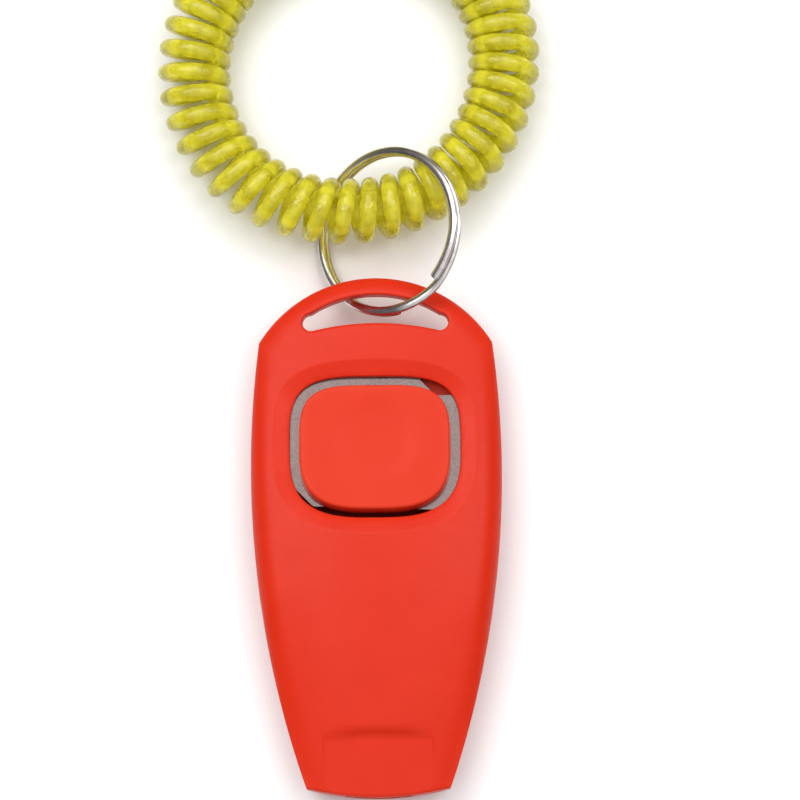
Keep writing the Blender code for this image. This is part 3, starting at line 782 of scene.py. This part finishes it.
def rear_shell():
    clamp_x = (-CLAMP_HALF_WIDTH, CLAMP_HALF_WIDTH)
    creases = shell_creases()
    creases += [rectangle(clamp_x, CLAMP_Y), rectangle(*grown(clamp_x, CLAMP_Y, DRAFT))]
    for side in (-1.0, 1.0):
        peg = (side * PEG_X, PEG_Y)
        creases += [circle(peg, radius, PEG_POINTS) for radius in (PEG_RADIUS, PEG_RADIUS + DRAFT)]
        rail_x = sorted((side * WINDWAY_HALF_WIDTH, side * (WINDWAY_HALF_WIDTH + RAIL_WIDTH)))
        creases += [rectangle(rail_x, RAIL_Y), rectangle(*grown(rail_x, RAIL_Y, DRAFT))]
    creases += [rectangle(*LEDGE), rectangle(*grown(*LEDGE, DRAFT))]
    bulkhead = (-BULKHEAD_HALF_WIDTH, BULKHEAD_HALF_WIDTH), BULKHEAD_Y
    creases += [rectangle(*bulkhead), rectangle(*grown(*bulkhead, DRAFT))]
    windway_x = (-WINDWAY_HALF_WIDTH + DRAFT, WINDWAY_HALF_WIDTH - DRAFT)
    windway = windway_x, (WINDWAY_CREASE_START_Y, WINDWAY_END_Y)
    creases += [rectangle(*windway), rectangle(*grown(*windway, DRAFT))]
    window = rectangle((-WINDOW_HALF_WIDTH, WINDOW_HALF_WIDTH), WINDOW_Y)
    holes = [slot_outline(0.0), window]
    return solid_between(
        "rear_shell",
        body_outline(0.0),
        holes,
        creases,
        REAR_SPACING,
        rear_inside,
        back_height,
        shell_wear,
    )


def windway_block():
    """The block over the windway, with its inner end sloped towards the window."""
    low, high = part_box("whistle_insert")
    slope = (high.z - low.z) * INSERT_SLOPE
    profile = [(low.y, low.z), (high.y, low.z), (high.y - slope, high.z), (low.y, high.z)]
    profile = rounded_corners(profile, INSERT_CORNER)
    across = (low.x, low.x + INSERT_END_BEVEL, high.x - INSERT_END_BEVEL, high.x)
    middle = profile.mean(axis=0)
    sections = []
    for x, scale in zip(across, (INSERT_END_SIZE, 1.0, 1.0, INSERT_END_SIZE)):
        sections.append([Vector((x, *(middle + (p - middle) * scale))) for p in profile])
    return swept("windway_block", sections)


# ---------------------------------------------------------------- the clicker


def button_top(x, y):
    inside = -distance_from_square(x, y, BUTTON_HALF, BUTTON_CENTRE)
    wall = mix(BUTTON_FOOT_Z + BUTTON_FOOT_BEVEL, BUTTON_TOP_Z - BUTTON_ROUND, clamp(inside / BUTTON_LEAN))
    height = wall + BUTTON_ROUND * quarter_round((inside - BUTTON_LEAN) / BUTTON_ROUND)
    reach = np.hypot(x - THUMB_DISH_CENTRE[0], y - THUMB_DISH_CENTRE[1])
    dish = smooth((THUMB_DISH_RADIUS - reach) / (THUMB_DISH_RAMP * THUMB_DISH_RADIUS))
    return height - THUMB_DISH_DEPTH * dish


def button_underside(x, y):
    """The button's rim, the hollow under its top, and its two legs."""
    inside = -distance_from_square(x, y, BUTTON_HALF, BUTTON_CENTRE)
    roof = mix(BUTTON_FOOT_Z, BUTTON_TOP_Z - BUTTON_ROOF, clamp((inside - BUTTON_WALL) / DRAFT))
    leg_x = (LEG_X - LEG_HALF[0], LEG_X + LEG_HALF[0])
    leg = inside_rectangle(np.abs(x), y, leg_x, (-LEG_HALF[1], LEG_HALF[1]))
    return mix(roof, LEG_BOTTOM_Z, leg)


def leg_rectangles(grow):
    """The outlines of the button's two legs, grown by some amount."""
    y_range = (-LEG_HALF[1], LEG_HALF[1])
    pair = [(side * LEG_X - LEG_HALF[0], side * LEG_X + LEG_HALF[0]) for side in (-1.0, 1.0)]
    return [rectangle(*grown(x_range, y_range, grow)) for x_range in pair]


def button_wear(x, y):
    inside = -distance_from_square(x, y, BUTTON_HALF, BUTTON_CENTRE)
    return np.exp(-np.abs(inside - BUTTON_LEAN - BUTTON_WEAR_INSET) / BUTTON_WEAR_WIDTH)


def thumb_button():
    edge = rounded_square(BUTTON_HALF, BUTTON_CENTRE, 0.0)
    rounding = [BUTTON_LEAN + BUTTON_ROUND * t for t in BUTTON_ROUND_LOOPS]
    insets = (*rounding, BUTTON_WALL, BUTTON_WALL + DRAFT)
    creases = [rounded_square(BUTTON_HALF, BUTTON_CENTRE, -d) for d in insets]
    creases += leg_rectangles(0.0) + leg_rectangles(DRAFT)
    return solid_between(
        "thumb_button",
        edge,
        [],
        creases,
        BUTTON_SPACING,
        button_top,
        button_underside,
        button_wear,
    )


def plate_top(x, y):
    """The spring plate's upper face, with the low dome pressed into it."""
    reach = np.hypot(x, y)
    return PLATE_TOP_Z + DOME_HEIGHT * smooth((DOME_RADIUS - reach) / DOME_STEP)


def spring_plate():
    edge = rounded_corners(PLATE_OUTLINE, PLATE_CORNER)
    holes = [rounded_corners(leg, LEG_HOLE_CORNER) for leg in leg_rectangles(DRAFT + PLATE_CLEARANCE)]
    holes += [circle((side * PEG_X, PEG_Y), PEG_HOLE_RADIUS, HOLE_POINTS) for side in (-1.0, 1.0)]
    ring_steps = [DOME_RADIUS - DOME_STEP * t for t in DOME_LOOPS]
    creases = [circle((0.0, 0.0), radius, DOME_POINTS) for radius in ring_steps]
    return solid_between(
        "spring_plate",
        edge,
        holes,
        creases,
        PLATE_SPACING,
        plate_top,
        lambda x, y: plate_top(x, y) - PLATE_THICKNESS,
    )


# ---------------------------------------------------------------- the ring and the coil


def split_ring():
    """A flat wire that goes round in the upper layer, steps down, and goes round in the lower one."""
    across = Vector((math.cos(RING_TILT), 0.0, math.sin(RING_TILT)))
    along = Vector((0.0, 1.0, 0.0))
    axis = across.cross(along)
    pitch = RING_WIRE_THICKNESS + RING_TURN_GAP
    sweep = 4.0 * math.pi - RING_STEP
    half_width, half_height = RING_WIRE_WIDTH / 2.0, RING_WIRE_THICKNESS / 2.0
    power = 2.0 / RING_WIRE_POWER
    profile = []
    for a in np.linspace(0.0, 2.0 * math.pi, RING_WIRE_SIDES, endpoint=False):
        r = half_width * math.copysign(abs(math.cos(a)) ** power, math.cos(a))
        profile.append((r, half_height * math.copysign(abs(math.sin(a)) ** power, math.sin(a))))
    middle = RING_OUTER_RADIUS - half_width
    sections = []
    for i in range(RING_SECTIONS + 1):
        turn = sweep * i / RING_SECTIONS
        layer = smooth((turn - (2.0 * math.pi - RING_STEP)) / RING_STEP)
        outward = across * math.cos(RING_START + turn) + along * math.sin(RING_START + turn)
        level = RING_CENTRE + axis * float(pitch * (0.5 - layer))
        radius = middle - float(RING_SPRING * smooth(1.0 - turn / RING_SPRING_LENGTH))
        size = RING_END_SIZE if i in (0, RING_SECTIONS) else 1.0
        sections.append([level + outward * (radius + r * size) + axis * (h * size) for r, h in profile])
    return swept("split_ring_wire", sections)


def bell(angle, middle, width):
    """1 at the middle angle, falling softly to 0 on both sides of it."""
    away = math.remainder(angle - middle, 2.0 * math.pi) / width
    return math.exp(-away * away / 2.0)


def coil_point(angle):
    """A point on the middle line of the wrist coil, which rises where it lies on the ring."""
    radius = COIL_RADIUS + COIL_OVAL * math.cos(2.0 * (angle - COIL_OVAL_AT))
    x = COIL_CENTRE.x + radius * math.cos(angle)
    y = COIL_CENTRE.y + radius * math.sin(angle)
    return Vector((x, y, COIL_REST_Z + COIL_HUMP * bell(angle, COIL_HUMP_AT, COIL_HUMP_WIDTH)))


def pitch_swell(share):
    """How far the turns are shifted along the coil to lie wider apart at one side of it."""
    return PITCH_SWELL * math.sin(2.0 * math.pi * (share - PITCH_SWELL_AT)) / (2.0 * math.pi)


def coil_path():
    """The wire's middle line: out of the joiner, round every turn of the spiral, and back into it."""
    start = COIL_GAP_AT + COIL_GAP_HALF
    sweep = 2.0 * math.pi - 2.0 * COIL_GAP_HALF
    count = TURNS * POINTS_PER_TURN
    up = Vector((0.0, 0.0, 1.0))
    points = [coil_point(start - LEAD_IN * t) for t in reversed(LEAD_IN_STEPS)]
    for i in range(count + 1):
        share = i / count
        angle = start + sweep * (share + pitch_swell(share) - pitch_swell(0.0))
        turn = 2.0 * math.pi * (TURNS * share + TURN_PHASE)
        ends = min(share, 1.0 - share) * TURNS / TAPER_TURNS
        pinch = COIL_PINCH * bell(angle, COIL_PINCH_AT, COIL_PINCH_WIDTH)
        radius = (HELIX_RADIUS - pinch) * float(smooth(ends))
        outward = Vector((math.cos(angle), math.sin(angle), 0.0))
        points.append(coil_point(angle) + (outward * math.cos(turn) + up * math.sin(turn)) * radius)
    points += [coil_point(start + sweep + LEAD_IN * t) for t in LEAD_IN_STEPS]
    return points


def coil_wire(points):
    curve = bpy.data.curves.new("coil_wire", "CURVE")
    curve.dimensions = "3D"
    curve.bevel_depth = WIRE_RADIUS
    curve.bevel_resolution = COIL_WIRE_ROUNDNESS
    curve.use_fill_caps = True
    spline = curve.splines.new("POLY")
    spline.points.add(len(points) - 1)
    for knot, point in zip(spline.points, points):
        knot.co = (*point, 1.0)
    wire = bpy.data.objects.new("coil_wire", curve)
    bpy.context.scene.collection.objects.link(wire)
    return wire


def joiner_sleeve():
    """The sleeve over the wire's two ends, with rounded rims and two crimped grooves."""
    half = JOINER_LENGTH / 2.0 / COIL_RADIUS
    up = Vector((0.0, 0.0, 1.0))
    turns = [2.0 * math.pi * k / JOINER_SIDES for k in range(JOINER_SIDES)]
    sections = []
    for station in np.linspace(-1.0, 1.0, JOINER_SECTIONS):
        angle = COIL_GAP_AT + half * station
        middle = coil_point(angle)
        outward = Vector((math.cos(angle), math.sin(angle), 0.0))
        rim = float(quarter_round((1.0 - abs(station)) / JOINER_RIM_LENGTH))
        groove = math.exp(-(((abs(station) - JOINER_GROOVE_AT) / JOINER_GROOVE_WIDTH) ** 2))
        size = JOINER_RIM_SIZE + (1.0 - JOINER_RIM_SIZE) * rim - JOINER_GROOVE_DEPTH * groove
        radius = JOINER_RADIUS * size
        sections.append([middle + (outward * math.cos(a) + up * math.sin(a)) * radius for a in turns])
    return swept("joiner_sleeve", sections)


# ---------------------------------------------------------------- materials


def new_material(name):
    material = bpy.data.materials.new(name)
    material.use_nodes = True
    return material, material.node_tree, material.node_tree.nodes["Principled BSDF"]


def noise(tree, scale, detail, coordinates="Object", stretch=(1.0, 1.0, 1.0)):
    """A noise texture's height, in coordinates that may be stretched."""
    place = tree.nodes.new("ShaderNodeMapping")
    place.inputs["Scale"].default_value = stretch
    texture = tree.nodes.new("ShaderNodeTexNoise")
    texture.inputs["Scale"].default_value = scale
    texture.inputs["Detail"].default_value = detail
    tree.links.new(tree.nodes.new("ShaderNodeTexCoord").outputs[coordinates], place.inputs["Vector"])
    tree.links.new(place.outputs["Vector"], texture.inputs["Vector"])
    return texture.outputs["Fac"]


def spread(tree, factor, low, high):
    """A number between low and high as a noise goes through the middle of its range."""
    node = tree.nodes.new("ShaderNodeMapRange")
    ends = (*NOISE_MIDDLE, low, high)
    for name, value in zip(("From Min", "From Max", "To Min", "To Max"), ends):
        node.inputs[name].default_value = value
    tree.links.new(factor, node.inputs["Value"])
    return node.outputs["Result"]


def between(tree, factor, low, high):
    """A colour between two others; each is a colour or an output."""
    node = tree.nodes.new("ShaderNodeMix")
    node.data_type = "RGBA"
    tree.links.new(factor, node.inputs["Factor"])
    for name, colour in (("A", low), ("B", high)):
        socket = next(s for s in node.inputs if s.name == name and s.type == "RGBA")
        if isinstance(colour, tuple):
            socket.default_value = (*colour, 1.0)
        else:
            tree.links.new(colour, socket)
    return next(s for s in node.outputs if s.type == "RGBA")


def bump(tree, shader, heights, distance):
    """Bumps from several heights, one on the other."""
    below = None
    for height, strength in heights:
        node = tree.nodes.new("ShaderNodeBump")
        node.inputs["Strength"].default_value = strength
        node.inputs["Distance"].default_value = distance
        tree.links.new(height, node.inputs["Height"])
        if below is not None:
            tree.links.new(below, node.inputs["Normal"])
        below = node.outputs["Normal"]
    tree.links.new(below, shader.inputs["Normal"])


def moulded_red(name, colour, deep, rubbed, roughness):
    """Moulded plastic: a faint cloudiness, a fine satin texture, and edges that handling has polished."""
    material, tree, shader = new_material(name)
    shader.inputs["Specular IOR Level"].default_value = PLASTIC_SHINE
    clouds = noise(tree, *RED_CLOUDS)
    worn = tree.nodes.new("ShaderNodeAttribute")
    worn.attribute_name = "edge_wear"
    patchy = tree.nodes.new("ShaderNodeMath")
    patchy.operation = "MULTIPLY"
    tree.links.new(worn.outputs["Fac"], patchy.inputs[0])
    tree.links.new(spread(tree, noise(tree, *RED_RUBBING), *RUBBED_SHARE), patchy.inputs[1])
    body = between(tree, spread(tree, clouds, 0.0, 1.0), deep, colour)
    tree.links.new(between(tree, patchy.outputs[0], body, rubbed), shader.inputs["Base Color"])
    satin = spread(tree, noise(tree, *RED_SATIN), roughness - SATIN_BELOW, roughness + SATIN_ABOVE)
    tree.links.new(satin, shader.inputs["Roughness"])
    fine, coarse = noise(tree, *RED_FINE_BUMPS), noise(tree, *RED_COARSE_BUMPS)
    bump(tree, shader, ((fine, RED_BUMP_STRENGTH), (coarse, RED_BUMP_STRENGTH)), RED_BUMP_HEIGHT)
    return material


def spring_steel():
    """Thin rolled steel with a fine mottled grain, its colour darkened and tinted pink as painted shade and
    painted red reflection.
    """
    material, tree, shader = new_material("spring_steel")
    shader.inputs["Metallic"].default_value = 1.0
    grain = noise(tree, *PLATE_GRAIN)
    clouds = noise(tree, *PLATE_CLOUDS)
    # the mottled greys include painted shade and a painted red reflection
    fine = between(tree, spread(tree, grain, 0.0, 1.0), *PLATE_GREY_WITH_PAINTED_SHADE)
    stained = between(tree, spread(tree, clouds, *PLATE_STAINED_SHARE), fine, PLATE_STAIN)
    tree.links.new(stained, shader.inputs["Base Color"])
    tree.links.new(spread(tree, clouds, *PLATE_ROUGHNESS), shader.inputs["Roughness"])
    heights = (grain, PLATE_GRAIN_STRENGTH), (noise(tree, *PLATE_WAVES), PLATE_WAVE_STRENGTH)
    bump(tree, shader, heights, PLATE_BUMP_HEIGHT)
    return material


def ring_steel():
    """Nickel-plated wire with fine drawing marks along it."""
    material, tree, shader = new_material("ring_steel")
    shader.inputs["Metallic"].default_value = 1.0
    drawn = noise(tree, *RING_MARKS, "UV", RING_MARKS_STRETCH)
    clouds = noise(tree, *RING_CLOUDS)
    nickel = between(tree, spread(tree, clouds, 0.0, 1.0), *RING_GREY)
    tree.links.new(nickel, shader.inputs["Base Color"])
    tree.links.new(spread(tree, drawn, *RING_ROUGHNESS), shader.inputs["Roughness"])
    heights = (drawn, RING_MARKS_STRENGTH), (noise(tree, *RING_GRAIN), RING_GRAIN_STRENGTH)
    bump(tree, shader, heights, RING_BUMP_HEIGHT)
    return material


def coil_plastic(name, colour, roughness, clear):
    """Soft plastic, cloudy inside, that is more or less clear from spot to spot."""
    material, tree, shader = new_material(name)
    clouds = noise(tree, *COIL_CLOUDS)
    deeper = tuple(c * CLOUDY_SHADE for c in colour)
    body = between(tree, spread(tree, clouds, 0.0, 1.0), deeper, colour)
    tree.links.new(body, shader.inputs["Base Color"])
    satin = spread(tree, noise(tree, *COIL_SATIN), roughness - SATIN_BELOW, roughness + SATIN_ABOVE)
    tree.links.new(satin, shader.inputs["Roughness"])
    shader.inputs["IOR"].default_value = COIL_IOR
    spots = spread(tree, noise(tree, *COIL_CLEARNESS), *clear)
    tree.links.new(spots, shader.inputs["Transmission Weight"])
    bump(tree, shader, ((noise(tree, *COIL_BUMPS), COIL_BUMP_STRENGTH),), COIL_BUMP_HEIGHT)
    return material


def finished(piece, material):
    piece.data.materials.clear()
    piece.data.materials.append(material)
    return piece


# ---------------------------------------------------------------- the picture


def look_at(item, target):
    item.rotation_mode = "QUATERNION"
    item.rotation_quaternion = (Vector(target) - item.location).to_track_quat("-Z", "Y")


def camera():
    data = bpy.data.cameras.new("camera")
    data.sensor_width = SENSOR_MM
    data.lens = SENSOR_MM * VIEW_DISTANCE / VIEW_FIELD
    data.clip_start = CLIP_START
    data.clip_end = CLIP_END
    item = bpy.data.objects.new("camera", data)
    item.location = VIEW_TARGET + Vector((0.0, -math.sin(VIEW_TILT), math.cos(VIEW_TILT))) * VIEW_DISTANCE
    look_at(item, VIEW_TARGET)
    item.rotation_quaternion @= Quaternion((0.0, 0.0, 1.0), -VIEW_ROLL)
    bpy.context.scene.collection.objects.link(item)
    bpy.context.scene.camera = item


def softbox(name, location, size, power):
    data = bpy.data.lights.new(name, "AREA")
    data.shape = "RECTANGLE"
    data.size, data.size_y = size
    data.energy = power
    item = bpy.data.objects.new(name, data)
    item.location = location
    look_at(item, LIGHTS_TARGET)
    item.visible_camera = False
    bpy.context.scene.collection.objects.link(item)


def surroundings():
    """A studio that is bright overhead and dark near the floor, which draws the dark lines on the metal."""
    world = bpy.data.worlds.new("studio")
    world.use_nodes = True
    tree = world.node_tree
    split = tree.nodes.new("ShaderNodeSeparateXYZ")
    tree.links.new(tree.nodes.new("ShaderNodeTexCoord").outputs["Generated"], split.inputs["Vector"])
    ramp = tree.nodes.new("ShaderNodeValToRGB")
    stops = ((HORIZON_TOP, HORIZON_LIGHT), (OVERHEAD_START, OVERHEAD_LIGHT))
    for element, (position, colour) in zip(ramp.color_ramp.elements, stops):
        element.position = position
        element.color = (*colour, 1.0)
    tree.links.new(split.outputs["Z"], ramp.inputs["Fac"])
    tree.links.new(ramp.outputs["Color"], tree.nodes["Background"].inputs["Color"])
    bpy.context.scene.world = world


def floor():
    mesh = bpy.data.meshes.new("floor")
    signs = ((-1, -1), (1, -1), (1, 1), (-1, 1))
    corners = [(x * FLOOR_REACH, y * FLOOR_REACH, -FLOOR_DROP) for x, y in signs]
    mesh.from_pydata(corners, [], [(0, 1, 2, 3)])
    item = bpy.data.objects.new("floor", mesh)
    bpy.context.scene.collection.objects.link(item)
    material, _, shader = new_material("paper")
    shader.inputs["Base Color"].default_value = (*FLOOR_WHITE, 1.0)
    shader.inputs["Roughness"].default_value = FLOOR_ROUGHNESS
    shader.inputs["Specular IOR Level"].default_value = FLOOR_SHINE
    mesh.materials.append(material)


def build_housing():
    red = moulded_red("shell_plastic", *SHELL_RED)
    front = finished(front_shell(), red)
    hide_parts("front_cover")
    rear = finished(rear_shell(), red)
    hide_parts("rear_cover")
    # the windway block gets the darker red: painted shade of the mouth's recess
    dark = moulded_red("insert_plastic_painted_shade", *INSERT_RED_WITH_PAINTED_SHADE)
    block = finished(windway_block(), dark)
    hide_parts("whistle_insert")
    for piece in (front, rear, block):
        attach(piece, "housing")


def build_clicker():
    red = moulded_red("button_plastic", *BUTTON_RED)
    button = finished(thumb_button(), red)
    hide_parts("click_button")
    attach(button, "clicker")
    plate = finished(spring_plate(), spring_steel())
    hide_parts("click_plate")
    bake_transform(plate)


def build_ring():
    ring = finished(split_ring(), ring_steel())
    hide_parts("split_ring")
    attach(ring, "ring")


def build_coil():
    sleeve = finished(joiner_sleeve(), coil_plastic("joiner_plastic", *JOINER_YELLOW))
    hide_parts("coil_joiner")
    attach(sleeve, "coil")
    wire = finished(coil_wire(coil_path()), coil_plastic("coil_plastic", *COIL_YELLOW))
    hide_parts("wrist_coil")
    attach(wire, "coil")


bpy.context.scene.view_settings.view_transform = "Standard"
camera()
for box in SOFTBOXES:
    softbox(*box)
surroundings()
floor()
build_housing()
build_clicker()
build_ring()
build_coil()
